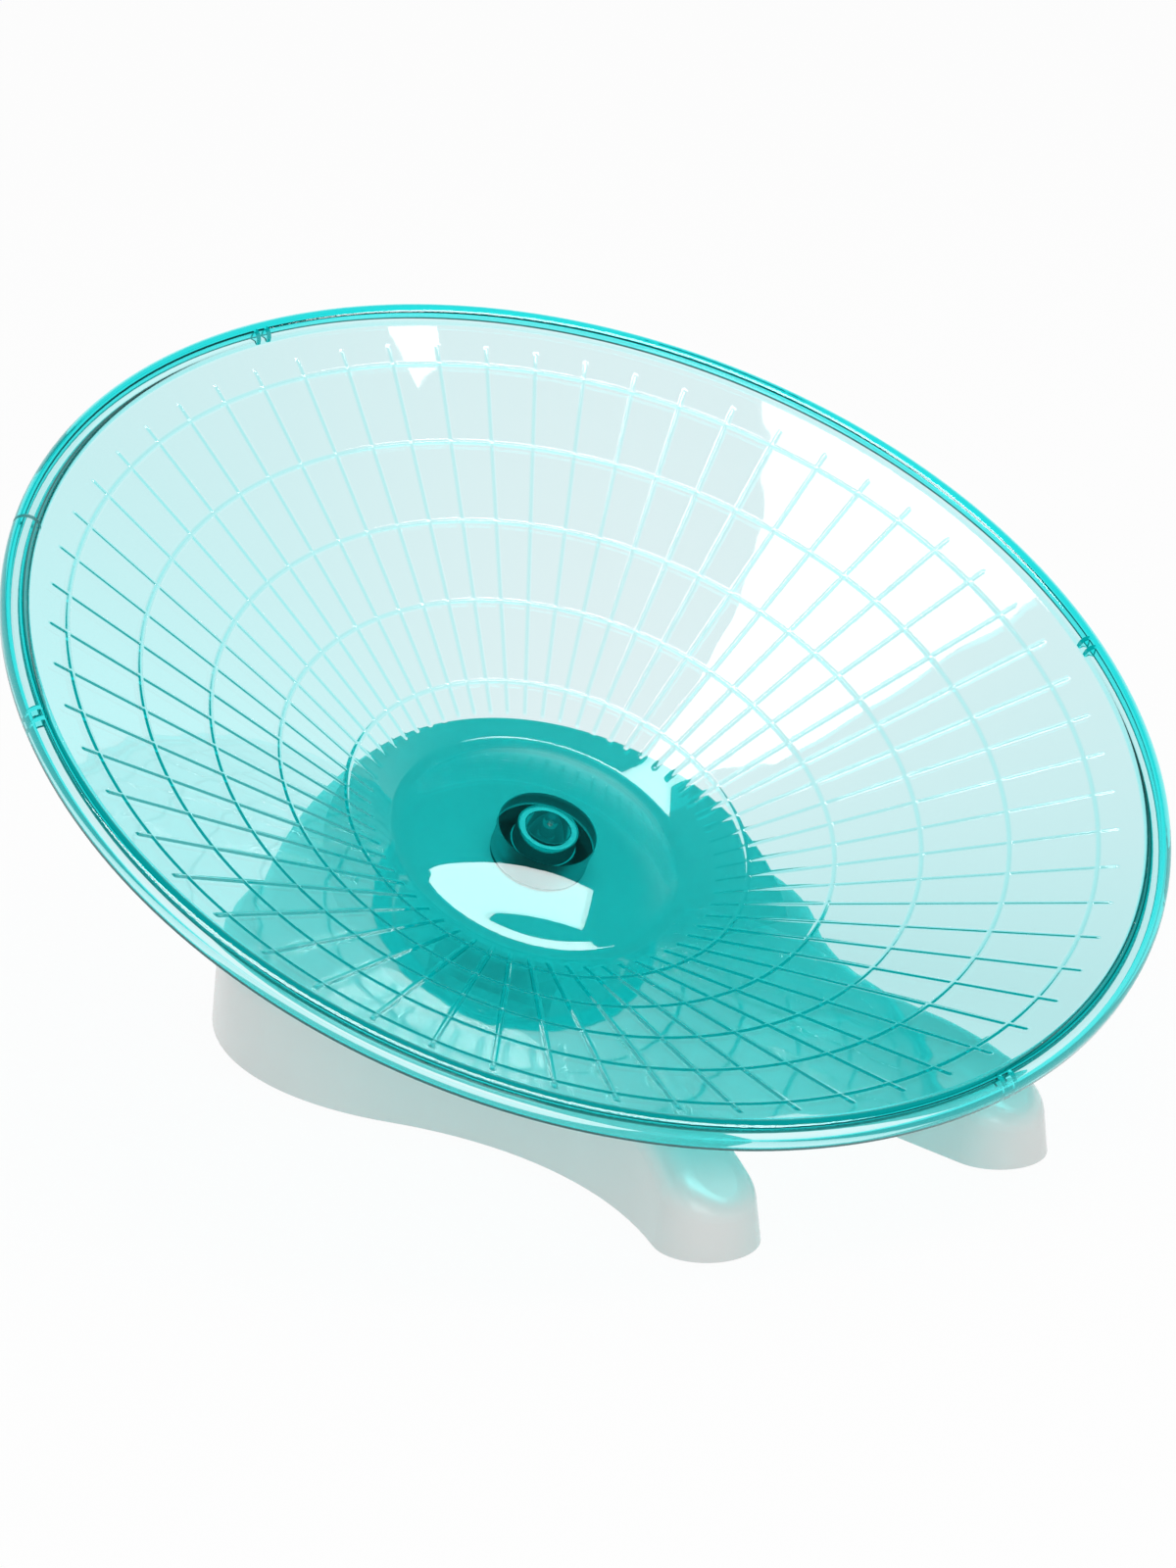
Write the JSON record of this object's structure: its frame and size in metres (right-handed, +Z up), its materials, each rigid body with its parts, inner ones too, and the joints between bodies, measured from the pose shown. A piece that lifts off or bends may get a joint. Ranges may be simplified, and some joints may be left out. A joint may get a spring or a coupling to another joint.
{
  "type": "small animal running disc",
  "caption": "Clear ribbed running dish that turns without limit on a tilted axle above a low white stand with two forward legs, for a small pet to run in.",
  "frame": {"origin": "middle of the object's box, on the surface that it stands on", "axes": "+Z up, -Y to the front where the dish is low and the legs point, +X to the right seen from the front"},
  "size_m": [0.3, 0.2654, 0.1735],
  "materials": {
    "clear_teal": "clear tinted gloss",
    "stand_plastic": "satin gloss",
    "bush_plastic": "satin",
    "washer_plastic": "dark satin",
    "washer_steel": "zinc plated",
    "pad_rubber": "matt"
  },
  "bodies": {
    "stand": {"stand_shell": "stand_plastic", "axle_bush": "bush_plastic", "thrust_washer": "washer_plastic", "foot_pad_front_left": "pad_rubber", "foot_pad_front_right": "pad_rubber", "foot_pad_rear_left": "pad_rubber", "foot_pad_rear_right": "pad_rubber"},
    "dish": {"running_dish": "clear_teal", "retaining_washer": "washer_steel", "axle_screw": "washer_steel"}
  },
  "joints": [
    {"name": "dish_spin", "type": "hinge", "parent": "stand", "child": "dish", "pos_m": [0, 0.02355, 0.0564], "axis": [0, -0.4749, 0.8801], "continuous": true}
  ]
}
